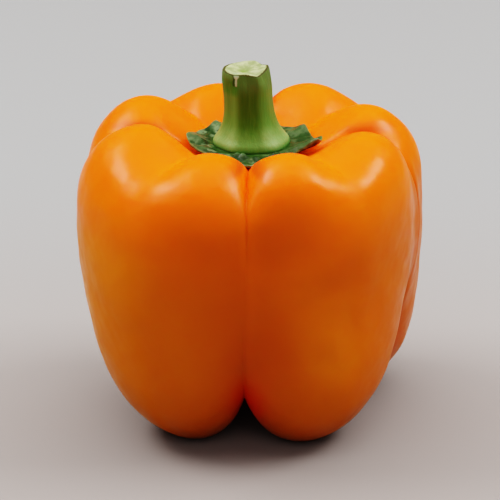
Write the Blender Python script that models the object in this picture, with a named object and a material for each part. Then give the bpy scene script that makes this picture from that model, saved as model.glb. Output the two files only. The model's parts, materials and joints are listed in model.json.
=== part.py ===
"""Orange bell pepper, picked whole: the four-lobed fruit, the calyx in its hollow and the cut stem.

Metres, +Z up. The fruit stands on its four feet at z = 0, with the origin under the middle of its box.
Azimuths are in degrees from the front (-Y) towards +X, so they run anticlockwise seen from above.
"""
from collections import namedtuple
from math import acos, atan2, cos, degrees, exp, hypot, pi, radians, sin, sqrt

import bmesh
import bpy
import numpy as np

# Driving dimensions of the fruit. FOOT_TWIST is how many degrees the lobes turn on their way down.
HOLLOW_FLOOR = 0.0703
SHOULDER_TOP = 0.0825
BELLY_RADIUS = 0.045
BELLY_HEIGHT = 0.056
PIT_CEILING = 0.009
FOOT_SINK = 0.0024
FOOT_TWIST = -2.2

# The fruit's two outlines, as control points (radius, height) of a smooth curve. Each runs from the hollow
# round the stem over the shoulder, down the flank and under the foot to the pit. One follows the back of a
# lobe, the other the groove between two lobes.
LOBE_OUTLINE = [
    (0.0, HOLLOW_FLOOR),
    (0.008, HOLLOW_FLOOR),
    (0.0155, 0.0714),
    (0.0212, 0.0766),
    (0.028, SHOULDER_TOP),
    (0.0365, 0.079),
    (0.044, 0.070),
    (BELLY_RADIUS, BELLY_HEIGHT),
    (0.043, 0.0395),
    (0.0416, 0.023),
    (0.0376, 0.0102),
    (0.0291, 0.0012),
    (0.0188, -FOOT_SINK),
    (0.0100, 0.005),
    (0.0, PIT_CEILING),
]
GROOVE_OUTLINE = [
    (0.0, HOLLOW_FLOOR),
    (0.008, HOLLOW_FLOOR),
    (0.0135, 0.0708),
    (0.0175, 0.0718),
    (0.0225, 0.0737),
    (0.0305, 0.0733),
    (0.0393, 0.0700),
    (0.0431, 0.0590),
    (0.0424, 0.0435),
    (0.0388, 0.0305),
    (0.0345, 0.0215),
    (0.0288, 0.0150),
    (0.0205, 0.0122),
    (0.010, 0.0095),
    (0.0, PIT_CEILING),
]

# The four lobes, anticlockwise. groove is the azimuth where the lobe starts and dip the one between its two
# knuckles. shoulder, waist and foot widen or narrow the lobe at that height. lift raises or lowers its two
# knuckles, and hug draws the groove in at the waist. cleft is the depth of the dip, and pinch how sharp it is:
# 0 gives a soft valley, 1 a crease between two balls. brow is how far the shoulder stands out over the flank.
Lobe = namedtuple("Lobe", "groove dip shoulder waist foot lift hug cleft pinch brow")
LOBES = [
    Lobe(-1.0, 38, 1.045, 0.90, 1.035, (-0.0008, -0.0012), 0.015, 0.58, 0.45, 0.0010),
    Lobe(89, 128, 1.085, 1.035, 1.26, (-0.0008, -0.0005), 0.0, 0.72, 1.0, 0.0),
    Lobe(172, 219, 1.03, 1.00, 1.00, (-0.0009, 0.0007), 0.0, 0.80, 1.0, 0.0),
    Lobe(270, 323, 0.965, 1.065, 1.0, (0.0008, -0.0016), -0.005, 0.62, 0.55, 0.0011),
]

# How round the knuckles and the flanks are along the outline, as (travel, steepness). Travel goes from 0 in
# the hollow to 1 in the pit. A steepness near 1 gives a full round back between deep creases. The dips are
# deepest at DIP_TRAVEL and the brows stand out most at BROW_TRAVEL.
KNUCKLE_STEEPNESS = [(0.0, 0.90), (0.2, 0.96), (0.36, 0.975), (0.5, 0.95)]
FLANK_STEEPNESS = [(0.0, 0.60), (0.5, 0.55), (0.62, 0.62), (0.72, 0.85), (0.82, 0.95), (1.0, 0.95)]
DIP_STEEPNESS = 0.95
DIP_ROUNDING = 0.16
DIP_TRAVEL = 0.30
DIP_FADE = 0.13
BROW_TRAVEL = 0.38
BROW_WIDTH = 0.07
SQUARENESS = 2.23

# Calyx: a green collar on the floor of the hollow, with a flat seat for the stem and curled teeth
SEAT_RADIUS = 0.0102
SEAT_HEIGHT = 0.0735
TOUCH_GAP = 0.0004
EDGE_THICKNESS = 0.001
CREASE_BRIDGE = 3.0

# The calyx's edge, point and bay by turns, as (azimuth, radius, lift off the fruit)
CALYX_EDGE = [
    (-145, 0.0156, 0.0015),
    (-124, 0.0150, 0.0008),
    (-94, 0.0166, 0.0009),
    (-82, 0.0156, 0.0003),
    (-68, 0.0162, 0.0002),
    (-42, 0.0136, 0.0002),
    (-22, 0.0152, 0.0001),
    (-12, 0.0150, 0.0001),
    (-2, 0.0172, 0.0001),
    (14, 0.0143, 0.0001),
    (38, 0.0155, 0.0003),
    (52, 0.0145, 0.0002),
    (57, 0.0202, 0.0004),
    (67, 0.0194, 0.0005),
    (77, 0.0190, 0.0006),
    (98, 0.0162, 0.0006),
    (122, 0.0168, 0.0008),
    (146, 0.0148, 0.0006),
    (172, 0.0148, 0.0008),
    (194, 0.0132, 0.0005),
]

# Stem: a ribbed stalk that flares into the calyx and is cut off roughly. The outline gives (radius, height)
# from the pith in the cut, over its rim and down the stalk, to the middle of the underside.
CUT_HEIGHT = 0.0932
CUT_RADIUS = 0.0058
CUT_REACH = 0.0045
STEM_BASE = SEAT_HEIGHT + TOUCH_GAP
STEM_OUTLINE = [
    (0.0, CUT_HEIGHT - 0.0009),
    (0.002, CUT_HEIGHT - 0.0007),
    (0.0050, CUT_HEIGHT - 0.0002),
    (0.0056, CUT_HEIGHT),
    (CUT_RADIUS, CUT_HEIGHT - 0.0004),
    (0.0060, 0.0917),
    (0.0061, 0.0903),
    (0.0061, 0.0885),
    (0.00605, 0.0855),
    (0.0063, 0.0818),
    (0.0070, 0.0789),
    (0.0082, 0.0765),
    (0.0093, 0.0752),
    (0.0098, STEM_BASE + 0.0006),
    (0.0094, STEM_BASE),
    (0.0050, STEM_BASE),
    (0.0, STEM_BASE),
]
STEM_RIBS = 6
RIB_AZIMUTH = 40.0
RIB_DEPTH_AT_BASE = 0.015
RIB_DEPTH_AT_CUT = 0.045
LEAN_AT_BASE = 0.0004
LEAN_AT_CUT = -0.0010

# The rim of the cut, corner by corner, as (azimuth, radius, rise over the cut's height)
CUT_EDGE = [
    (-105.0, 0.0059, 0.0),
    (-37.5, 0.0062, -0.0002),
    (0.0, 0.0051, -0.0001),
    (30.0, 0.0059, -0.0008),
    (52.5, 0.0052, -0.0005),
    (82.5, 0.0053, 0.0),
    (112.5, 0.0062, 0.0002),
    (127.5, 0.0051, 0.0001),
    (157.5, 0.0058, 0.0005),
    (202.5, 0.0052, 0.0002),
    (225.0, 0.0055, 0.0001),
]

# Mesh density
FRUIT_COLUMNS = 104
FRUIT_ROWS = 44
CREASE_CROWDING = 0.75
CALYX_COLUMNS = 80
CALYX_SEAT_ROWS = 2
CALYX_LEAF_ROWS = 4
STEM_COLUMNS = 48
SHARP_EDGE = radians(50)


def clear_scene():
    for thing in list(bpy.data.objects):
        bpy.data.objects.remove(thing, do_unlink=True)


def make_material(name, colour, roughness):
    material = bpy.data.materials.new(name)
    material.use_nodes = True
    shader = material.node_tree.nodes["Principled BSDF"]
    shader.inputs["Base Color"].default_value = (*colour, 1.0)
    shader.inputs["Roughness"].default_value = roughness
    shader.inputs["Metallic"].default_value = 0.0
    return material


def waxy_orange_skin():
    return make_material("waxy_orange_skin", colour=(0.78, 0.20, 0.006), roughness=0.28)


def dark_green_calyx():
    return make_material("dark_green_calyx", colour=(0.035, 0.095, 0.022), roughness=0.5)


def pale_green_stalk():
    return make_material("pale_green_stalk", colour=(0.14, 0.22, 0.035), roughness=0.5)


def ease(value, start, end):
    """Goes smoothly from 0 at start to 1 at end, and stays there outside."""
    share = min(max((value - start) / (end - start), 0.0), 1.0)
    return share * share * (3.0 - 2.0 * share)


def mix(first, second, share):
    return first + (second - first) * share


def read_stops(stops, travel):
    """Value at travel on straight lines between (travel, value) stops."""
    places, values = zip(*stops)
    return float(np.interp(travel, places, values))


def smooth_outline(outline, travel):
    """Point (radius, height) on the even cubic spline of an outline that meets the axis at both ends."""
    mirrored_start = (-outline[1][0], outline[1][1])
    mirrored_end = (-outline[-2][0], outline[-2][1])
    guide = [mirrored_start, *outline, mirrored_end]
    spans = len(guide) - 3
    span = min(int(travel * spans), spans - 1)
    t = travel * spans - span
    weights = (
        (1 - t) ** 3 / 6,
        (3 * t ** 3 - 6 * t ** 2 + 4) / 6,
        (-3 * t ** 3 + 3 * t ** 2 + 3 * t + 1) / 6,
        t ** 3 / 6,
    )
    near = guide[span:span + 4]
    radius = sum(weight * point[0] for weight, point in zip(weights, near))
    height = sum(weight * point[1] for weight, point in zip(weights, near))
    return radius, height


def round_back(offset, steepness):
    """Height of a round-backed ridge: 1 along its middle, 0 at offset 1, where steepness 1 is upright."""
    side = sqrt(1.0 - steepness ** 2)
    return (sqrt(max(1.0 - (steepness * offset) ** 2, 0.0)) - side) / (1.0 - side)


def find_lobe(azimuth):
    """The lobe at an azimuth, the one after it, and how far across the first it lies, from 0 to 1."""
    first = LOBES[0].groove
    turned = (azimuth - first) % 360.0 + first
    ends = [lobe.groove for lobe in LOBES[1:]] + [first + 360.0]
    number = next(place for place, end in enumerate(ends) if turned <= end)
    lobe = LOBES[number]
    share = (turned - lobe.groove) / (ends[number] - lobe.groove)
    dip_share = (lobe.dip - lobe.groove) / (ends[number] - lobe.groove)
    return lobe, LOBES[(number + 1) % len(LOBES)], share, dip_share


def swell(across, travel, lobe):
    """How far the skin stands out from the groove's outline to the lobe's, from 0 to 1.

    across is -1 in one groove, 0 in the dip between the two knuckles and 1 in the next groove.
    """
    knuckle_offset = 1.0 - 2.0 * abs(across)
    if knuckle_offset < 0.0:
        knuckle = round_back(knuckle_offset, read_stops(KNUCKLE_STEEPNESS, travel))
    else:
        fade = exp(-(max(travel - DIP_TRAVEL, 0.0) / DIP_FADE) ** 2)
        valley = 0.5 - 0.5 * cos(pi * knuckle_offset)
        rounded = hypot(2.0 * across, DIP_ROUNDING) - DIP_ROUNDING
        from_dip = rounded / (hypot(1.0, DIP_ROUNDING) - DIP_ROUNDING)
        crease = 1.0 - round_back(1.0 - from_dip, DIP_STEEPNESS)
        knuckle = 1.0 - lobe.cleft * fade * mix(valley, crease, lobe.pinch)
    flank = round_back(across, read_stops(FLANK_STEEPNESS, travel))
    return mix(knuckle, flank, ease(travel, 0.34, 0.56))


def fruit_outline(azimuth, travel):
    """Radius and height of the skin at an azimuth, at a travel from 0 in the hollow to 1 in the pit."""
    lobe, next_lobe, share, dip_share = find_lobe(azimuth)
    across = share / dip_share - 1.0 if share < dip_share else (share - dip_share) / (1.0 - dip_share)

    lobe_radius, lobe_height = smooth_outline(LOBE_OUTLINE, travel)
    at_foot = ease(travel, 0.42, 0.85)
    at_waist = ease(travel, 0.24, 0.60) - at_foot
    at_shoulder = (1.0 - ease(travel, 0.24, 0.60)) * ease(travel, 0.12, 0.30)
    lobe_radius *= (1.0 + (lobe.shoulder - 1.0) * at_shoulder + (lobe.waist - 1.0) * at_waist
                    + (lobe.foot - 1.0) * at_foot)
    on_knuckles = ease(travel, 0.10, 0.28) * (1.0 - ease(travel, 0.36, 0.60))
    lobe_height += mix(*lobe.lift, ease(across, -0.5, 0.5)) * on_knuckles
    jut = lobe.brow * exp(-((travel - BROW_TRAVEL) / BROW_WIDTH) ** 2)
    lobe_radius += jut
    lobe_height += jut

    groove_radius, groove_height = smooth_outline(GROOVE_OUTLINE, travel)
    hug = mix(lobe.hug, next_lobe.hug, ease(share, 0.0, 1.0))
    groove_radius *= 1.0 - hug * ease(travel, 0.30, 0.50) * (1.0 - ease(travel, 0.75, 0.95))

    out = swell(across, travel, lobe)
    radius = mix(groove_radius, lobe_radius, out)
    height = mix(groove_height, lobe_height, out)
    turn = radians(azimuth)
    corner = (abs(cos(turn)) ** SQUARENESS + abs(sin(turn)) ** SQUARENESS) ** (-1.0 / SQUARENESS)
    radius *= 1.0 + (corner - 1.0) * ease(travel, 0.20, 0.45) * (1.0 - ease(travel, 0.70, 0.95))
    return radius, height


def hollow_height(azimuth, radius):
    """Height of the skin inside the stem's hollow, at a radius from the axis."""
    low, high = 0.0, 0.3
    for _ in range(30):
        middle = (low + high) / 2.0
        if fruit_outline(azimuth, middle)[0] < radius:
            low = middle
        else:
            high = middle
    return fruit_outline(azimuth, low)[1]


def at(azimuth, radius, height, shift=0.0):
    turn = radians(azimuth)
    return radius * sin(turn) + shift, -radius * cos(turn), height


def closed_skin(name, columns, rows, place, material):
    """A globe of quads whose vertices move to place(column, row). Row 0 is its top, the last its bottom."""
    bm = bmesh.new()
    bmesh.ops.create_uvsphere(bm, u_segments=columns, v_segments=rows, radius=1.0)
    for vertex in bm.verts:
        x, y, z = vertex.co
        column = round(degrees(atan2(x, -y)) % 360.0 / 360.0 * columns) % columns
        row = round(acos(min(max(z, -1.0), 1.0)) / pi * rows)
        vertex.co = place(column, row)
    mesh = bpy.data.meshes.new(name)
    bm.to_mesh(mesh)
    bm.free()
    mesh.shade_smooth()
    mesh.set_sharp_from_angle(angle=SHARP_EDGE)
    mesh.materials.append(material)
    thing = bpy.data.objects.new(name, mesh)
    bpy.context.collection.objects.link(thing)
    return thing


def fruit_vertex(column, row):
    """The columns crowd towards the grooves and dips, and the lobes turn a little on their way down.

    What would be below the ground is a flat spot on it.
    """
    creases = [azimuth for lobe in LOBES for azimuth in (lobe.groove, lobe.dip)] + [LOBES[0].groove + 360.0]
    per_knuckle = FRUIT_COLUMNS // (len(creases) - 1)
    number, step = divmod(column, per_knuckle)
    share = step / per_knuckle
    share -= CREASE_CROWDING * sin(2.0 * pi * share) / (2.0 * pi)
    azimuth = mix(creases[number], creases[number + 1], share)
    travel = row / FRUIT_ROWS
    radius, height = fruit_outline(azimuth, travel)
    return at(azimuth + FOOT_TWIST * ease(travel, 0.25, 0.85), radius, max(height, 0.0))


def make_fruit():
    return closed_skin("fruit", FRUIT_COLUMNS, FRUIT_ROWS, fruit_vertex, waxy_orange_skin())


def calyx_edge(azimuth):
    """Radius and lift of the calyx's edge: sharp at its points, round in its bays."""
    first = CALYX_EDGE[0][0]
    turned = (azimuth - first) % 360.0 + first
    closed = CALYX_EDGE + [(first + 360.0, *CALYX_EDGE[0][1:])]
    number = next(place for place in range(len(CALYX_EDGE)) if turned <= closed[place + 1][0])
    near, far = closed[number], closed[number + 1]
    share = (turned - near[0]) / (far[0] - near[0])
    starts_at_point = number % 2 == 0
    towards_point = (1.0 - share if starts_at_point else share) ** 2
    point, bay = (near, far) if starts_at_point else (far, near)
    return mix(bay[1], point[1], towards_point), mix(bay[2], point[2], towards_point)


def calyx_underside(azimuth, radius):
    """The calyx lies on the fruit and bridges its creases."""
    beside = (azimuth - CREASE_BRIDGE, azimuth, azimuth + CREASE_BRIDGE)
    return max(hollow_height(side, radius) for side in beside) + TOUCH_GAP


def calyx_vertex(column, row):
    """Upper face from the middle out to the edge, then the lower face from the edge back in."""
    azimuth = 360.0 * column / CALYX_COLUMNS
    edge_radius, edge_lift = calyx_edge(azimuth)
    rows_a_side = CALYX_SEAT_ROWS + CALYX_LEAF_ROWS
    upper = row <= rows_a_side
    ring = row if upper else 2 * rows_a_side + 1 - row
    if ring <= CALYX_SEAT_ROWS:
        radius = SEAT_RADIUS * ring / CALYX_SEAT_ROWS
        height = SEAT_HEIGHT if upper else calyx_underside(azimuth, radius)
        return at(azimuth, radius, height)
    out = (ring - CALYX_SEAT_ROWS) / CALYX_LEAF_ROWS
    radius = mix(SEAT_RADIUS, edge_radius, out)
    underside = calyx_underside(azimuth, radius) + edge_lift * out ** 2
    seat_thickness = SEAT_HEIGHT - calyx_underside(azimuth, SEAT_RADIUS)
    thickness = mix(seat_thickness, EDGE_THICKNESS, ease(out, 0.0, 1.0))
    return at(azimuth, radius, underside + thickness if upper else underside)


def make_calyx():
    rows = 2 * (CALYX_SEAT_ROWS + CALYX_LEAF_ROWS) + 1
    return closed_skin("calyx", CALYX_COLUMNS, rows, calyx_vertex, dark_green_calyx())


def cut_edge(azimuth):
    """Radius and rise of the cut's rim."""
    turned = (azimuth - CUT_EDGE[0][0]) % 360.0 + CUT_EDGE[0][0]
    azimuths, radii, rises = zip(*CUT_EDGE, (CUT_EDGE[0][0] + 360.0, *CUT_EDGE[0][1:]))
    return float(np.interp(turned, azimuths, radii)), float(np.interp(turned, azimuths, rises))


def stem_vertex(column, row):
    """The stalk's ribs give way to the corners of the rough cut close below it."""
    azimuth = 360.0 * column / STEM_COLUMNS
    radius, height = STEM_OUTLINE[row]
    up = (height - STEM_BASE) / (CUT_HEIGHT - STEM_BASE)
    rib_depth = mix(RIB_DEPTH_AT_BASE, RIB_DEPTH_AT_CUT, up)
    ribbed = radius * (1.0 + rib_depth * cos(radians(STEM_RIBS * (azimuth - RIB_AZIMUTH))))
    edge_radius, rise = cut_edge(azimuth)
    near_cut = ease(height, CUT_HEIGHT - CUT_REACH, CUT_HEIGHT - 0.001)
    height += rise * min(radius / CUT_RADIUS, 1.0) * near_cut
    radius = mix(ribbed, radius * edge_radius / CUT_RADIUS, near_cut)
    return at(azimuth, radius, height, shift=mix(LEAN_AT_BASE, LEAN_AT_CUT, up))


def make_stem():
    return closed_skin("stem", STEM_COLUMNS, len(STEM_OUTLINE) - 1, stem_vertex, pale_green_stalk())


def middle_of(thing, axis):
    places = [vertex.co[axis] for vertex in thing.data.vertices]
    return (min(places) + max(places)) / 2.0


def build_pepper():
    """Parents the three pieces to an empty that brings the middle of the fruit's box over the origin."""
    clear_scene()
    fruit = make_fruit()
    pepper = bpy.data.objects.new("pepper", None)
    bpy.context.collection.objects.link(pepper)
    for piece in (fruit, make_calyx(), make_stem()):
        piece.parent = pepper
    pepper.location = (-middle_of(fruit, 0), -middle_of(fruit, 1), 0.0)


build_pepper()
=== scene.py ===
import json
from math import atan2, cos, degrees, exp, hypot, pi, radians, sin

import bpy
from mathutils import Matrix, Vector, noise

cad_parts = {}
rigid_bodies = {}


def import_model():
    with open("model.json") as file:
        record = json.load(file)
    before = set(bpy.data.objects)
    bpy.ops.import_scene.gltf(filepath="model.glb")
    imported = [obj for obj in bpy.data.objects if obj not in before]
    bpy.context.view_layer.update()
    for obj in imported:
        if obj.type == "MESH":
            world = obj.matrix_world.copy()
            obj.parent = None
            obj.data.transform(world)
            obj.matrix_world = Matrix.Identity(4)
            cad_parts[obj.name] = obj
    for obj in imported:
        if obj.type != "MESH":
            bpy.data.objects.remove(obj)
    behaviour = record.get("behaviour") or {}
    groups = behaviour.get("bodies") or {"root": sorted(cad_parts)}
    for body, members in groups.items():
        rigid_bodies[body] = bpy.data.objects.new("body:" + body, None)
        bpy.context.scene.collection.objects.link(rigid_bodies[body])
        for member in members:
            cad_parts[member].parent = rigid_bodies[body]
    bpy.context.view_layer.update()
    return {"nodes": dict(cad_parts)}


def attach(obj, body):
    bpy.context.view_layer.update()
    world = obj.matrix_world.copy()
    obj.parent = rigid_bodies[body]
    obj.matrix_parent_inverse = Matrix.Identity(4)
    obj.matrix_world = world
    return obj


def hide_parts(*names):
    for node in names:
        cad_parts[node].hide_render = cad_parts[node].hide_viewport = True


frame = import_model()


# Fruit: one thick fleshy wall under a thin waxy skin, grown in four lobes that each end in two knuckles
# round the stem. The shoulders are a yellower orange than the flanks, partly as they ripen and partly as
# painted light from above, and painted shade keeps the seams the reddest. It stands on four feet round a pit
# with the dry scar that the flower left.
AXIS = Vector((-0.0006, 0.0, 0.0))
MERGE_GAP = 1e-5

# The seams' azimuths, and the flesh that closes them: all the way up, but for a hairline crease near the top.
SEAMS = (-1.3, 88.7, 171.7, 269.7)
SEAM_FILL = 0.0008
FILL_WIDTH = 3.5
FILL_HEIGHTS = (0.020, 0.034, 0.0765, 0.0790)
CREASE_SHARE = 0.25
CREASE_WIDTH = 0.35
CREASE_HEIGHTS = (0.054, 0.064, 0.074, 0.077)

# The skin's faint swells and dents, which fade out at the feet.
SWELL_DEPTH = 0.0004
SWELL_SIZE = 0.017
DENT_DEPTH = 0.00016
DENT_SIZE = 0.0062
FOOT_FADE = (0.002, 0.012)

# The orange of the skin from foot to shoulder: lighter towards the top, partly as it ripens in patches and
# partly as painted light from above.
RIPENING_AND_TOP_LIGHT = (
    (0.0, (0.60, 0.156, 0.0)),
    (0.30, (0.61, 0.160, 0.0)),
    (0.60, (0.63, 0.146, 0.0)),
    (0.80, (0.76, 0.147, 0.0)),
    (1.0, (0.97, 0.160, 0.0)),
)
RIPENING_AND_TOP_LIGHT_HEIGHTS = (-0.01, 0.09)
RIPENING_DRIFT = 0.012
RIPENING_PATCH = 0.016

# Painted light: the knuckles' tops that face up are lighter and redder, as if lit from above. Below the
# shoulders, painted light makes the left flank lighter and yellower, and painted shade makes the right one
# darker and redder.
PAINTED_TOP_LIGHT = (1.0, 0.122, 0.0)
TOP_FACING = (0.1, 0.8)
TOP_HEIGHTS = (0.050, 0.070)
PAINTED_LEFT_FLANK_LIGHT = (0.68, 0.190, 0.0)
LEFT_FLANK_REACH = (-0.014, -0.036)
PAINTED_RIGHT_FLANK_SHADE = (0.58, 0.115, 0.0)
RIGHT_FLANK_REACH = (0.018, 0.036)
SHOULDER_FOOT = (0.052, 0.064)

# The deeper oranges and reds: painted shade in the seams, at the feet and under the knuckles, and the skin's
# own patches low on the flanks.
PAINTED_SEAM_SHADE = (0.50, 0.088, 0.0)
SEAM_SHADE_WIDTH = 20.0
SEAM_SHADE_END = (0.058, 0.073)
BLUSH = (0.47, 0.076, 0.0)
BLUSH_HEIGHTS = (0.010, 0.030, 0.050, 0.066)
BLUSH_PATCH = 0.020
BLUSH_CONTRAST = (0.36, 0.72)
PAINTED_FOOT_SHADE = (0.36, 0.062, 0.0)
FOOT_SHADE_HEIGHTS = (0.030, 0.0)
PAINTED_UNDER_KNUCKLE_SHADE = (0.47, 0.080, 0.0)
UNDER_KNUCKLE_HEIGHTS = (0.052, 0.064, 0.069, 0.078)
UNDER_KNUCKLE_MIDDLE = -0.006
UNDER_KNUCKLE_REACH = (0.030, 0.012)

# Painted shade in the clefts: the darkest lines, at the two ends of each seam.
CLEFT_NARROWNESS = 9.0
PAINTED_FOOT_CLEFT_SHADE = (0.70, 0.020, 0.0)
FOOT_CLEFT_HEIGHTS = (0.028, 0.012)
PAINTED_TOP_CLEFT_SHADE = (0.30, 0.030, 0.0)
TOP_CLEFT_HEIGHTS = (0.0750, 0.0765, 0.0775, 0.0790)

# The flower's scar in the pit.
SCAR = (0.16, 0.085, 0.030)
SCAR_PLACE = (AXIS.x, AXIS.y, 0.0085)
SCAR_EDGE = (0.0036, 0.0026)
SCAR_RAGGED = 0.0012
SCAR_PATCH = 0.0015

# The wax: a little duller in patches, and in two dips between knuckles, each with its azimuth and share.
WAX_ROUGHNESS = 0.28
PATCH_ROUGHNESS = 0.14
PATCH_SIZE = 0.0065
PATCH_CONTRAST = (0.3, 0.7)
DIP_ROUGHNESS = 0.25
DULL_DIPS = ((-37.0, 1.0), (38.0, 0.7))
DULL_DIP_WIDTH = 3.5
PORE_DEPTH = 0.00022
PORE_SIZE = 0.0045


def copy_solid(node, name):
    """A copy of one of the frame's solids, its loose triangles merged to quads in a mesh of its own."""
    solid = frame["nodes"][node]
    bpy.ops.object.select_all(action="DESELECT")
    solid.select_set(True)
    bpy.context.view_layer.objects.active = solid
    bpy.ops.object.duplicate()
    piece = bpy.context.active_object
    piece.name = name
    piece.data.name = name
    bpy.ops.object.parent_clear(type="CLEAR_KEEP_TRANSFORM")
    for key in [key for key in piece.keys() if key.startswith("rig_")]:
        del piece[key]
    bpy.ops.mesh.customdata_custom_splitnormals_clear()
    bpy.ops.object.mode_set(mode="EDIT")
    bpy.ops.mesh.select_all(action="SELECT")
    bpy.ops.mesh.remove_doubles(threshold=MERGE_GAP)
    bpy.ops.mesh.tris_convert_to_quads(face_threshold=pi, shape_threshold=pi)
    bpy.ops.object.mode_set(mode="OBJECT")
    piece.data.materials.clear()
    return piece


def apply_modifier(piece, kind, **settings):
    modifier = piece.modifiers.new(kind.lower(), kind)
    for name, value in settings.items():
        setattr(modifier, name, value)
    bpy.context.view_layer.objects.active = piece
    bpy.ops.object.modifier_apply(modifier=modifier.name)


def smooth(piece, levels):
    apply_modifier(piece, "SUBSURF", levels=levels, render_levels=levels)
    for face in piece.data.polygons:
        face.use_smooth = True


def azimuth_of(point):
    """Degrees round the axis from the front towards the right, seen from above."""
    return degrees(atan2(point.x - AXIS.x, AXIS.y - point.y))


def turn_between(first, second):
    return abs((first - second + 180.0) % 360.0 - 180.0)


def ease(value, start, end):
    """Goes smoothly from 0 at start to 1 at end, and stays there outside."""
    share = min(max((value - start) / (end - start), 0.0), 1.0)
    return share * share * (3.0 - 2.0 * share)


def ease_within(value, bounds):
    """Goes smoothly from 0 to 1 between the first two bounds, and back to 0 between the last two."""
    return ease(value, *bounds[:2]) * (1.0 - ease(value, *bounds[2:]))


def bell(offset, width):
    return exp(-((offset / width) ** 2))


def add_mask(piece, name, values):
    mask = piece.data.attributes.new(name, "FLOAT", "POINT")
    mask.data.foreach_set("value", values)


def seam_offset(point):
    return min(turn_between(azimuth_of(point), seam) for seam in SEAMS)


def dullness(point):
    azimuth = azimuth_of(point)
    return max(share * bell(turn_between(azimuth, dip), DULL_DIP_WIDTH) for dip, share in DULL_DIPS)


class Socket:
    """A shader socket. Arithmetic adds Math nodes to its material, and node() adds any other node."""

    def __init__(self, tree, socket=None):
        self.tree = tree
        self.socket = socket

    def node(self, kind, settings, sockets, output=0):
        node = self.tree.nodes.new("ShaderNode" + kind)
        for name, value in settings.items():
            if name == "stops":
                set_stops(node.color_ramp.elements, value)
            else:
                setattr(node, name, value)
        for name, value in sockets.items():
            if isinstance(value, Socket):
                self.tree.links.new(value.socket, node.inputs[name])
            else:
                node.inputs[name].default_value = value
        return Socket(self.tree, node.outputs[output])

    def math(self, operation, first, second):
        return self.node("Math", {"operation": operation}, {0: first, 1: second})

    def __add__(self, other):
        return self.math("ADD", self, other)

    def __radd__(self, other):
        return self.math("ADD", other, self)

    def __sub__(self, other):
        return self.math("SUBTRACT", self, other)

    def __rsub__(self, other):
        return self.math("SUBTRACT", other, self)

    def __mul__(self, other):
        return self.math("MULTIPLY", self, other)

    def __rmul__(self, other):
        return self.math("MULTIPLY", other, self)

    def __pow__(self, other):
        return self.math("POWER", self, other)

    def __abs__(self):
        return self.math("ABSOLUTE", self, 0.0)


def set_stops(elements, stops):
    while len(elements) < len(stops):
        elements.new(1.0)
    for element, (place, colour) in zip(elements, stops):
        element.position = place
        element.color = (*colour, 1.0)


def new_material(name):
    """A material with an empty node tree, and the socket that its first nodes are added from."""
    material = bpy.data.materials.new(name)
    material.use_nodes = True
    material.node_tree.nodes.clear()
    return material, Socket(material.node_tree)


def close_material(surface):
    output = surface.tree.nodes.new("ShaderNodeOutputMaterial")
    surface.tree.links.new(surface.socket, output.inputs["Surface"])


def fade(value, start, end):
    """A mask that goes smoothly from 0 where value is start to 1 where it is end."""
    settings = {"interpolation_type": "SMOOTHSTEP"}
    return value.node("MapRange", settings, {"Value": value, "From Min": start, "From Max": end})


def fade_within(value, bounds):
    """A mask that goes smoothly to 1 between the first two bounds, and back to 0 between the last two."""
    return fade(value, *bounds[:2]) * (1.0 - fade(value, *bounds[2:]))


def read_mask(start, name):
    return start.node("Attribute", {"attribute_name": name}, {}, output="Fac")


def tint(mask, first, second):
    """The first colour where the mask is 0, the second where it is 1."""
    colours = [value if isinstance(value, Socket) else (*value, 1.0) for value in (first, second)]
    return mask.node("Mix", {"data_type": "RGBA"}, {0: mask, 6: colours[0], 7: colours[1]}, output=2)


def paint(colour, layers):
    """The colour under layers of other colours, each with its mask and the share that it hides at most."""
    for mask, share, layer in layers:
        colour = tint(mask * share, colour, layer)
    return colour


def cloud(place, size, detail=2.0):
    """Soft noise round 0.5 with patches of about that size, in metres."""
    return place.node("TexNoise", {}, {"Vector": place, "Scale": 1.0 / size, "Detail": detail})


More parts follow.
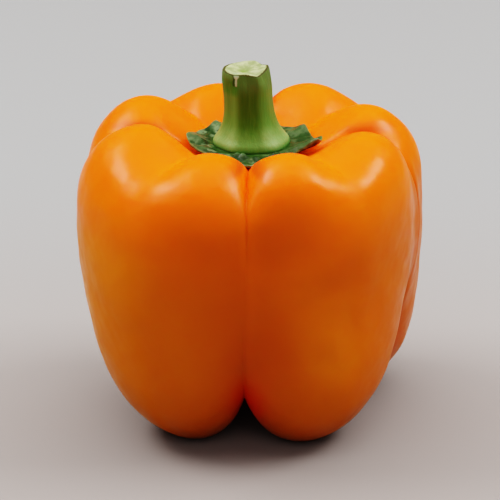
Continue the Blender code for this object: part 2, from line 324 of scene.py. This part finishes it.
def ripe_skin():
    material, start = new_material("waxy_orange_skin")
    place = start.node("TexCoord", {}, {}, output="Object")
    across = start.node("SeparateXYZ", {}, {"Vector": place}, output="X")
    height = start.node("SeparateXYZ", {}, {"Vector": place}, output="Z")
    seam, upward, dull = [read_mask(start, name) for name in ("seam", "upward", "dull")]

    # Lighter towards the shoulders: partly ripening, partly painted light from above.
    ripening_and_light = fade(height + RIPENING_DRIFT * (cloud(place, RIPENING_PATCH) - 0.5), *RIPENING_AND_TOP_LIGHT_HEIGHTS)
    cleft = seam ** CLEFT_NARROWNESS
    blush = fade(cloud(place, BLUSH_PATCH, 0.0), *BLUSH_CONTRAST) * fade_within(height, BLUSH_HEIGHTS)
    aside = abs(across - UNDER_KNUCKLE_MIDDLE)
    below_shoulder = 1.0 - fade(height, *SHOULDER_FOOT)
    from_scar = start.node("VectorMath", {"operation": "DISTANCE"}, {0: place, 1: SCAR_PLACE}, output="Value")
    scar = fade(from_scar + SCAR_RAGGED * (cloud(place, SCAR_PATCH) - 0.5), *SCAR_EDGE)
    flesh = start.node("ValToRGB", {"stops": RIPENING_AND_TOP_LIGHT}, {"Fac": ripening_and_light})
    layers = (
        # Painted light: tops that face up are lighter and redder.
        (upward, 1.0, PAINTED_TOP_LIGHT),
        # Painted shade: darker and redder in the seams.
        (seam * (1.0 - fade(height, *SEAM_SHADE_END)), 0.75, PAINTED_SEAM_SHADE),
        (blush, 0.45, BLUSH),
        # Painted shade: darker towards the feet.
        (fade(height, *FOOT_SHADE_HEIGHTS), 0.5, PAINTED_FOOT_SHADE),
        # Painted shade in the cleft above the notch between the feet.
        (cleft * fade(height, *FOOT_CLEFT_HEIGHTS), 0.9, PAINTED_FOOT_CLEFT_SHADE),
        # Painted shade under the knuckles, beside the front seam.
        (fade(aside, *UNDER_KNUCKLE_REACH) * fade_within(height, UNDER_KNUCKLE_HEIGHTS), 0.45, PAINTED_UNDER_KNUCKLE_SHADE),
        # Painted light on the left flank and painted shade on the right flank.
        (fade(across, *LEFT_FLANK_REACH) * below_shoulder, 0.7, PAINTED_LEFT_FLANK_LIGHT),
        (fade(across, *RIGHT_FLANK_REACH) * below_shoulder, 0.6, PAINTED_RIGHT_FLANK_SHADE),
        # Painted shade in the hairline crease at the top of each seam.
        (cleft * fade_within(height, TOP_CLEFT_HEIGHTS), 0.8, PAINTED_TOP_CLEFT_SHADE),
        (scar, 1.0, SCAR),
    )

    dull_patches = fade(cloud(place, PATCH_SIZE, 1.0), *PATCH_CONTRAST)
    rough = WAX_ROUGHNESS + PATCH_ROUGHNESS * dull_patches + DIP_ROUGHNESS * dull
    pores = start.node(
        "Bump",
        {},
        {"Strength": 1.0, "Distance": PORE_DEPTH, "Height": cloud(place, PORE_SIZE, 1.0)},
    )
    skin = start.node(
        "BsdfPrincipled",
        {},
        {
            "Base Color": paint(flesh, layers),
            "Roughness": rough,
            "Normal": pores,
            "IOR": 1.42,
            "Specular IOR Level": 0.27,
            "Subsurface Weight": 0.35,
            "Subsurface Radius": (0.008, 0.0018, 0.0003),
            "Subsurface Scale": 1.0,
        },
    )
    close_material(skin)
    return material


def make_fruit():
    fruit = copy_solid("fruit", "pepper_fruit")
    smooth(fruit, 2)
    for vertex in fruit.data.vertices:
        spot = vertex.co
        offset = seam_offset(spot)
        crease = CREASE_SHARE * bell(offset, CREASE_WIDTH) * ease_within(spot.z, CREASE_HEIGHTS)
        fill = SEAM_FILL * ease_within(spot.z, FILL_HEIGHTS) * (bell(offset, FILL_WIDTH) - crease)
        swell = SWELL_DEPTH * noise.noise(spot / SWELL_SIZE) + DENT_DEPTH * noise.noise(spot / DENT_SIZE)
        outward = Vector((spot.x - AXIS.x, spot.y - AXIS.y, 0.0)).normalized()
        vertex.co = spot + outward * (swell * ease(spot.z, *FOOT_FADE) + fill)
    fruit.data.update()
    vertices = fruit.data.vertices
    # The seam mask, which places the painted shade in the seams and in the clefts.
    add_mask(fruit, "seam", [bell(seam_offset(v.co), SEAM_SHADE_WIDTH) for v in vertices])
    add_mask(fruit, "dull", [dullness(v.co) for v in vertices])
    # Where the painted light of the tops goes: surfaces high up that face up.
    add_mask(fruit, "upward", [ease(v.normal.z, *TOP_FACING) * ease(v.co.z, *TOP_HEIGHTS) for v in vertices])
    fruit.data.materials.append(ripe_skin())
    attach(fruit, "root")
    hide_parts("fruit")


make_fruit()


# Calyx: the green collar that the flower left round the stem's foot. It lies on the floor of the hollow,
# and its leathery teeth are creased along the middle and curl up at their tips. Small lumps stand on it in
# front of the stem, and its edge is dry and pale at the right and at the front.
SEAT_RADIUS = 0.0102
CALYX_SECTORS = 180

# Each tooth's azimuth, and the height of the crease along it.
TEETH = (
    (-145, 0.0008),
    (-94, 0.0008),
    (-66, 0.0006),
    (-24, 0.0006),
    (36, 0.0007),
    (60, 0.0015),
    (77, 0.0009),
    (122, 0.0007),
    (172, 0.0008),
)
TOOTH_CREASE_WIDTH = 14.0
FULL_CREASE = 0.0008
TOOTH_RISE = (0.0, 0.6)

# Each lump's azimuth, distance from the axis, height and size.
LUMPS = (
    (-16, 0.0116, 0.0009, 0.0013),
    (-9, 0.0121, 0.0010, 0.0012),
    (9, 0.0130, 0.0006, 0.0011),
    (31, 0.0126, 0.0005, 0.0010),
)
FULL_LUMP = 0.0011

# The crinkles of the whole collar, and how its edge hangs down into the front seam.
CRINKLE_DEPTH = 0.0009
CRINKLE_SIZE = 0.0024
HANG_AZIMUTH = -2.0
HANG_WIDTH = 13.0
HANG_DEPTH = 0.0013
HANG_BAND = (0.3, 1.0)

# Leaf greens, from the crevices' painted shade to the creases, and the dry edges with their azimuths and
# widths.
# Painted shade also darkens the right side, the foot of each lump and the ring round the seat. A band is a
# share of the way from the seat to the edge.
LEAF_DARK = (0.020, 0.044, 0.010)
LEAF_PALE = (0.110, 0.145, 0.070)
LEAF_PATCH = 0.0025
LEAF_CONTRAST = (0.38, 0.62)
PAINTED_CREVICE_SHADE = (0.010, 0.026, 0.004)
CREVICE_SIZE = 0.0018
CREVICE_CONTRAST = (0.48, 0.38)
CREASE_GREEN = (0.100, 0.150, 0.060)
CREASE_GREEN_BAND = (0.1, 0.6)
PAINTED_RIGHT_SIDE_SHADE = (0.028, 0.052, 0.010)
RIGHT_SIDE_REACH = (-0.008, 0.008)
EDGE_GREEN = (0.13, 0.17, 0.05)
EDGE_BAND = (0.90, 1.0)
PAINTED_LUMP_FOOT_SHADE = (0.010, 0.028, 0.004)
LUMP_FOOT_RISE = (0.03, 0.2, 0.25, 0.6)
LUMP_GREEN = (0.070, 0.125, 0.052)
LUMP_PATCHES = 1.2
LUMP_CONTRAST = (0.4, 0.9)
DRY_GREEN = (0.095, 0.135, 0.062)
DRY_EDGES = ((62, 10), (8, 14))
DRY_BAND = (0.78, 1.0)
DRY_PATCH = 0.0012
DRY_PATCHES = 0.5
DRY_CONTRAST = (0.45, 0.75)
PAINTED_SEAT_SHADE = (0.030, 0.075, 0.012)
SEAT_BAND = (0.12, 0.0)
VEIN_DEPTH = 0.0004
VEIN_SIZE = 0.0010


def leathery_green():
    material, start = new_material("dark_green_calyx")
    place = start.node("TexCoord", {}, {}, output="Object")
    across = start.node("SeparateXYZ", {}, {"Vector": place}, output="X")
    edge, crease, dry, lump = [read_mask(start, name) for name in ("edge", "crease", "dry", "lump")]

    patches = cloud(place, LEAF_PATCH)
    layers = (
        # Painted shade of small crevices, in dark spots at random.
        (fade(cloud(place, CREVICE_SIZE), *CREVICE_CONTRAST), 0.8, PAINTED_CREVICE_SHADE),
        (crease, 0.6, CREASE_GREEN),
        # Painted shade: the calyx is darker on its right side.
        (fade(across, *RIGHT_SIDE_REACH), 0.6, PAINTED_RIGHT_SIDE_SHADE),
        (fade(edge, *EDGE_BAND), 0.6, EDGE_GREEN),
        # Painted shade in a dark ring round the foot of each lump.
        (fade_within(lump, LUMP_FOOT_RISE), 0.8, PAINTED_LUMP_FOOT_SHADE),
        (fade(lump + LUMP_PATCHES * (patches - 0.5), *LUMP_CONTRAST), 1.0, LUMP_GREEN),
        (fade(dry + DRY_PATCHES * (cloud(place, DRY_PATCH) - 0.5), *DRY_CONTRAST), 1.0, DRY_GREEN),
        # Painted shade: darker round the seat, under the stem's flare.
        (fade(edge, *SEAT_BAND), 0.6, PAINTED_SEAT_SHADE),
    )
    colour = paint(tint(fade(patches, *LEAF_CONTRAST), LEAF_DARK, LEAF_PALE), layers)
    veins = start.node(
        "Bump",
        {},
        {"Strength": 0.5, "Distance": VEIN_DEPTH, "Height": cloud(place, VEIN_SIZE, 3.0)},
    )
    leaf = start.node(
        "BsdfPrincipled",
        {},
        {"Base Color": colour, "Roughness": 0.45, "Normal": veins, "IOR": 1.45, "Specular IOR Level": 0.4},
    )
    close_material(leaf)
    return material


def radius_of(point):
    return hypot(point.x - AXIS.x, point.y - AXIS.y)


def at(azimuth, radius):
    turn = radians(azimuth)
    return Vector((AXIS.x + radius * sin(turn), AXIS.y - radius * cos(turn)))


def sector_of(azimuth, sectors):
    """Which of so many equal sectors round the axis the azimuth is in."""
    return int(azimuth % 360.0 / (360.0 / sectors)) % sectors


def tooth_crease(azimuth):
    """Height of the crease along the nearest tooth, which falls off to both sides of it."""
    shares = [(height, 1.0 - turn_between(azimuth, tooth) / TOOTH_CREASE_WIDTH) for tooth, height in TEETH]
    return max(height * max(share, 0.0) for height, share in shares)


def lump_at(point):
    """Height of the lumps at a point, as a share of a full lump."""
    spots = [(at(azimuth, radius), height, size) for azimuth, radius, height, size in LUMPS]
    return max(height / FULL_LUMP * bell((point.xy - middle).length, size) for middle, height, size in spots)


def dryness(azimuth):
    return max(bell(turn_between(azimuth, dry), width) for dry, width in DRY_EDGES)


def make_calyx():
    calyx = copy_solid("calyx", "pepper_calyx")
    smooth(calyx, 2)
    spots = [vertex.co.copy() for vertex in calyx.data.vertices]
    reach = [0.0] * CALYX_SECTORS
    for spot in spots:
        sector = sector_of(azimuth_of(spot), CALYX_SECTORS)
        reach[sector] = max(reach[sector], radius_of(spot))
    edges, creases, dries, lumps = [], [], [], []
    for vertex, spot in zip(calyx.data.vertices, spots):
        azimuth = azimuth_of(spot)
        width = reach[sector_of(azimuth, CALYX_SECTORS)] - SEAT_RADIUS
        edge = min(max((radius_of(spot) - SEAT_RADIUS) / width, 0.0), 1.0)
        crease = tooth_crease(azimuth)
        lump = lump_at(spot)
        crinkle = CRINKLE_DEPTH * (0.5 + 0.5 * noise.noise(spot / CRINKLE_SIZE))
        hang = HANG_DEPTH * bell(turn_between(azimuth, HANG_AZIMUTH), HANG_WIDTH) * ease(edge, *HANG_BAND)
        vertex.co.z += (crease + crinkle) * ease(edge, *TOOTH_RISE) + FULL_LUMP * lump - hang
        edges.append(edge)
        creases.append(crease / FULL_CREASE * ease(edge, *CREASE_GREEN_BAND))
        dries.append(ease(edge, *DRY_BAND) * dryness(azimuth))
        lumps.append(lump)
    add_mask(calyx, "edge", edges)
    add_mask(calyx, "crease", creases)
    add_mask(calyx, "dry", dries)
    add_mask(calyx, "lump", lumps)
    calyx.data.materials.append(leathery_green())
    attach(calyx, "root")
    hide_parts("calyx")


make_calyx()


# Stem: a fibrous six-ribbed stalk that flares into the calyx, painted darker down its front as shade. It was
# cut
# off roughly with a knife: the pale pith has sunk inside a thin rim that dries brown, and a strip of the skin
# hangs torn below the rim.
STEM_MIDDLE = Vector((-0.0018, -0.0001))
STEM_SECTORS = 72
STEM_FOOT = (0.0752, 0.0742)
FOOT_DROP = 0.0007
RIM_HEIGHT = 0.0918
PITH_RADIUS = 0.004
PITH_DENT_MIDDLE = Vector((-0.0023, 0.0010))
PITH_DENT_DEPTH = 0.0007
PITH_DENT_SIZE = 0.0014

# Painted shade round the stem: lighter on the ribs, darker in the shallow flutes between them, and darkest in
# a broad band down the front, which faces away from the lights.
RIBS = 6
RIB_AZIMUTH = 40.0
FLUTE_SHARE = 0.35
FRONT_SHADE_AZIMUTH = 8.0
FRONT_SHADE_EDGE = (14.0, 40.0)

# Stalk greens, from the flutes' painted shade to the pale flare, with fibres and streaks that run along the
# stem, and a patch of painted shade high on the left.
FLUTE_SHADE_GREEN = (0.030, 0.079, 0.002)
RIB_LIT_GREEN = (0.114, 0.206, 0.042)
STREAK_GREEN = (0.036, 0.115, 0.008)
STREAK_SIZE = 0.0022
STREAK_CONTRAST = (0.35, 0.7)
FIBRE_GREEN = (0.13, 0.25, 0.05)
FIBRE_SIZE = 0.0007
FIBRE_DEPTH = 0.0003
ALONG_STEM = (1.0, 1.0, 0.06)
WEATHERED_TOP = (0.095, 0.120, 0.042)
WEATHERED_TOP_HEIGHTS = (0.0865, 0.0905)
PAINTED_LEFT_TOP_SHADE = (0.035, 0.175, 0.020)
LEFT_TOP_REACH = (-0.0028, -0.0045)
LEFT_TOP_HEIGHTS = (0.0865, 0.0885, 0.0908, 0.0920)
MIDDLE_GREEN = (0.055, 0.190, 0.060)
MIDDLE_HEIGHTS = (0.0760, 0.0790, 0.0850, 0.0890)
FLARE_GREEN = (0.182, 0.272, 0.108)
FLARE_HEIGHTS = (0.0805, 0.0755)
FLARE_DRIFT = 0.003
FLARE_IN_FLUTE = 0.25
FLARE_ON_RIB = 0.60
FOOT_GREEN = (0.055, 0.160, 0.025)
FOOT_GREEN_HEIGHTS = (0.0752, 0.0738)

# The cut, its brown rim and the skin just below it, by their distance inside the rim.
PITH_DARK = (0.19, 0.215, 0.095)
PITH_PALE = (0.33, 0.34, 0.180)
PITH_PATCH = 0.0016
PITH_CONTRAST = (0.35, 0.7)
DENT_GREEN = (0.12, 0.18, 0.03)
RIM_SKIN = (0.105, 0.145, 0.055)
RIM_SKIN_EDGE = (-0.0004, 0.0)
RIM_BROWN = (0.055, 0.040, 0.010)
RIM_BROWN_BAND = (-0.0006, -0.0002, 0.0001, 0.0004)
RIM_RAGGED = 0.0006
RIM_PATCH = 0.0009
RIM_BEND = 0.0008
RIM_BEND_REACH = 0.006

# The torn strip on the stem's front, with a painted shadow along its left side.
STRIP_PALE = (0.30, 0.35, 0.22)
STRIP_MIDDLE = -0.0041
STRIP_WIDTH = 0.00028
STRIP_HEIGHTS = (0.0898, 0.0902, 0.0925, 0.0929)
STRIP_TOP = (0.0919, 0.0925)
STRIP_TOP_RAGGED = 0.0006
STRIP_TOP_WIDENING = 1.3
STRIP_WAVINESS = 0.9
STRIP_DEPTHS = (-0.003, -0.002)
STRIP_RAGGED = 0.0007
STRIP_PATCH = 0.0016
STRIP_EDGE = (-0.0002, 0.0002)
PAINTED_STRIP_SHADOW = (0.022, 0.030, 0.004)
STRIP_SHADOW_OFFSET = 0.0003
STRIP_SHADOW_WIDTH = 0.0006
STRIP_SHADOW_EDGE = (-0.0001, 0.0002)


def fibrous_green():
    material, start = new_material("pale_green_stalk")
    place = start.node("TexCoord", {}, {}, output="Object")
    across, depth, height = [start.node("SeparateXYZ", {}, {"Vector": place}, output=axis) for axis in "XYZ"]
    rim, rib, dent = [read_mask(start, name) for name in ("rim", "rib", "dent")]

    along = start.node("Mapping", {}, {"Vector": place, "Scale": ALONG_STEM})
    fibres = cloud(along, FIBRE_SIZE, 3.0)
    streaks = cloud(along, STREAK_SIZE, 2.0)
    flare = fade(height + FLARE_DRIFT * (streaks - 0.5), *FLARE_HEIGHTS)
    left_top_shade = fade(across, *LEFT_TOP_REACH) * fade_within(height, LEFT_TOP_HEIGHTS)
    skin_layers = (
        (fade(streaks, *STREAK_CONTRAST), 0.45, STREAK_GREEN),
        (fibres, 0.35, FIBRE_GREEN),
        (fade(height, *WEATHERED_TOP_HEIGHTS), 0.55, WEATHERED_TOP),
        # Painted shade: a darker, greener patch high on the stem's left.
        (left_top_shade, 0.75, PAINTED_LEFT_TOP_SHADE),
        (fade_within(height, MIDDLE_HEIGHTS) * rib, 0.3, MIDDLE_GREEN),
        # The pale flare shows less in the flutes' painted shade.
        (flare * (FLARE_IN_FLUTE + FLARE_ON_RIB * rib), 1.0, FLARE_GREEN),
        (fade(height, *FOOT_GREEN_HEIGHTS), 0.7, FOOT_GREEN),
    )
    # Painted shade: lighter on the ribs, darker in the flutes and darkest down the front.
    skin = paint(tint(rib, FLUTE_SHADE_GREEN, RIB_LIT_GREEN), skin_layers)

    pith = tint(fade(cloud(place, PITH_PATCH, 3.0), *PITH_CONTRAST), PITH_DARK, PITH_PALE)
    cut = tint(dent * 0.7, pith, DENT_GREEN)
    off_middle = (across - STEM_MIDDLE.x) * (1.0 / RIM_BEND_REACH)
    ragged = rim + RIM_RAGGED * (cloud(place, RIM_PATCH, 3.0) - 0.5) - RIM_BEND * off_middle * off_middle
    rim_layers = (
        (fade(rim, *RIM_SKIN_EDGE), 1.0, RIM_SKIN),
        (fade(ragged, *RIM_BROWN_BAND[2:]), 1.0, cut),
        (fade_within(ragged, RIM_BROWN_BAND), 0.85, RIM_BROWN),
    )

    aside = across + STRIP_RAGGED * (cloud(place, STRIP_PATCH) - 0.5) - STRIP_MIDDLE
    at_top = fade(height + STRIP_TOP_RAGGED * streaks, *STRIP_TOP)
    half_width = STRIP_WIDTH * (1.0 + STRIP_TOP_WIDENING * at_top + STRIP_WAVINESS * (streaks - 0.5))
    on_front = fade_within(height, STRIP_HEIGHTS) * (1.0 - fade(depth, *STRIP_DEPTHS))
    strip = fade(half_width - abs(aside), *STRIP_EDGE) * on_front
    strip_layers = (
        # Painted shadow of the torn strip, on its left.
        (fade(STRIP_SHADOW_WIDTH - abs(aside + STRIP_SHADOW_OFFSET), *STRIP_SHADOW_EDGE) * on_front, 0.7, PAINTED_STRIP_SHADOW),
        (strip, 1.0, STRIP_PALE),
    )

    grain = start.node(
        "Bump",
        {},
        {"Strength": 0.5, "Distance": FIBRE_DEPTH, "Height": fibres + 0.6 * strip},
    )
    stalk = start.node(
        "BsdfPrincipled",
        {},
        {
            "Base Color": paint(skin, rim_layers + strip_layers),
            "Roughness": 0.5,
            "Normal": grain,
            "IOR": 1.45,
            "Specular IOR Level": 0.22,
        },
    )
    close_material(stalk)
    return material


def rib_at(azimuth):
    """The painted shade at an azimuth round the stem: 1 on a rib, 0 in the middle of the dark band down the
    front.
    """
    flute = 0.5 - 0.5 * cos(radians(RIBS * (azimuth - RIB_AZIMUTH)))
    front = 1.0 - ease(turn_between(azimuth, FRONT_SHADE_AZIMUTH), *FRONT_SHADE_EDGE)
    return 1.0 - max(FLUTE_SHARE * flute, front)


def make_stem():
    stem = copy_solid("stem", "pepper_stem")
    apply_modifier(stem, "SUBSURF", subdivision_type="SIMPLE", levels=1, render_levels=1)
    smooth(stem, 1)
    spots = [vertex.co.copy() for vertex in stem.data.vertices]
    sides = [spot.xy - STEM_MIDDLE for spot in spots]
    azimuths = [degrees(atan2(side.x, -side.y)) for side in sides]
    sectors = [sector_of(azimuth, STEM_SECTORS) for azimuth in azimuths]
    reach = [0.0] * STEM_SECTORS
    tops = [0.0] * STEM_SECTORS
    for spot, side, sector in zip(spots, sides, sectors):
        if spot.z > RIM_HEIGHT:
            reach[sector] = max(reach[sector], side.length)
            tops[sector] = max(tops[sector], spot.z)
    rims, dents = [], []
    for vertex, spot, side, sector in zip(stem.data.vertices, spots, sides, sectors):
        inside = reach[sector] - side.length
        below = tops[sector] - spot.z
        rims.append(inside if inside > below or side.length < PITH_RADIUS else -below)
        dent = bell((spot.xy - PITH_DENT_MIDDLE).length, PITH_DENT_SIZE) if spot.z > RIM_HEIGHT else 0.0
        vertex.co.z -= PITH_DENT_DEPTH * dent + FOOT_DROP * ease(spot.z, *STEM_FOOT)
        dents.append(dent)
    add_mask(stem, "rim", rims)
    add_mask(stem, "rib", [rib_at(azimuth) for azimuth in azimuths])
    add_mask(stem, "dent", dents)
    stem.data.materials.append(fibrous_green())
    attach(stem, "root")
    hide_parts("stem")


make_stem()


# Floor: a plain pale surface, wide enough to fill the view, warm near the fruit and grey behind it.
FLOOR_SIZE = 6.0
FLOOR_WARM = (0.248, 0.220, 0.206)
FLOOR_GREY = (0.247, 0.242, 0.238)
FLOOR_FADE = (-0.02, 0.20)


def pale_floor():
    material, start = new_material("pale_floor")
    place = start.node("TexCoord", {}, {}, output="Object")
    depth = start.node("SeparateXYZ", {}, {"Vector": place}, output="Y")
    colour = tint(fade(depth, *FLOOR_FADE), FLOOR_WARM, FLOOR_GREY)
    floor = start.node("BsdfPrincipled", {}, {"Base Color": colour, "Roughness": 0.8, "IOR": 1.4})
    close_material(floor)
    return material


bpy.ops.mesh.primitive_plane_add(size=FLOOR_SIZE, location=(0.0, 0.0, 0.0))
floor = bpy.context.active_object
floor.name = "floor"
floor.data.materials.append(pale_floor())


# Studio light: a soft window on each side and well above the fruit, a broad soft ceiling light and a weak
# card in front. The ceiling and the card leave no highlights on the skin. The room round them is dim, and
# darker at the back than at the front.
LIGHT_AIM = Vector((0.0, 0.0, 0.05))
ROOM_FRONT = (0.24, 0.245, 0.255)
ROOM_BACK = (0.12, 0.12, 0.13)
ROOM_FADE = (0.1, 0.8)


def add_light(name, azimuth, elevation, distance, size, strength):
    turn = radians(azimuth)
    rise = radians(elevation)
    direction = Vector((sin(turn) * cos(rise), -cos(turn) * cos(rise), sin(rise)))
    bpy.ops.object.light_add(type="AREA", location=LIGHT_AIM + direction * distance)
    lamp = bpy.context.active_object
    lamp.name = name
    lamp.rotation_euler = direction.to_track_quat("Z", "Y").to_euler()
    lamp.data.shape = "RECTANGLE"
    lamp.data.size, lamp.data.size_y = size
    lamp.data.energy = strength * pi * size[0] * size[1]
    return lamp


add_light("left_window", azimuth=-103, elevation=50, distance=1.2, size=(0.60, 0.40), strength=11.2)
add_light("right_window", azimuth=96, elevation=46, distance=1.2, size=(0.60, 0.40), strength=11.7)
front_card = add_light("front_card", azimuth=0, elevation=35, distance=1.2, size=(1.2, 0.6), strength=1.6)
front_card.visible_glossy = False
ceiling = add_light("ceiling", azimuth=180, elevation=80, distance=1.6, size=(2.2, 2.2), strength=2.65)
ceiling.visible_glossy = False

world = bpy.data.worlds.new("dim_room")
bpy.context.scene.world = world
world.use_nodes = True
room = Socket(world.node_tree)
direction = room.node("TexCoord", {}, {}, output="Generated")
towards_back = room.node("SeparateXYZ", {}, {"Vector": direction}, output="Y")
brightness = tint(fade(towards_back, *ROOM_FADE), ROOM_FRONT, ROOM_BACK)
world.node_tree.links.new(brightness.socket, world.node_tree.nodes["Background"].inputs["Color"])
bpy.context.scene.view_settings.view_transform = "Filmic"
bpy.context.scene.view_settings.look = "Very High Contrast"


# Camera: a long lens in front of the fruit, looking down at it.
CAMERA_PLACE = Vector((-0.0006, -0.5623, 0.2617))
CAMERA_AIM = Vector((-0.0006, -0.0002, 0.0443))
CAMERA_LENS = 167.9

bpy.ops.object.camera_add(location=CAMERA_PLACE)
camera = bpy.context.active_object
camera.rotation_euler = (CAMERA_PLACE - CAMERA_AIM).to_track_quat("Z", "Y").to_euler()
camera.data.lens = CAMERA_LENS
camera.data.sensor_width = 36.0
bpy.context.scene.camera = camera
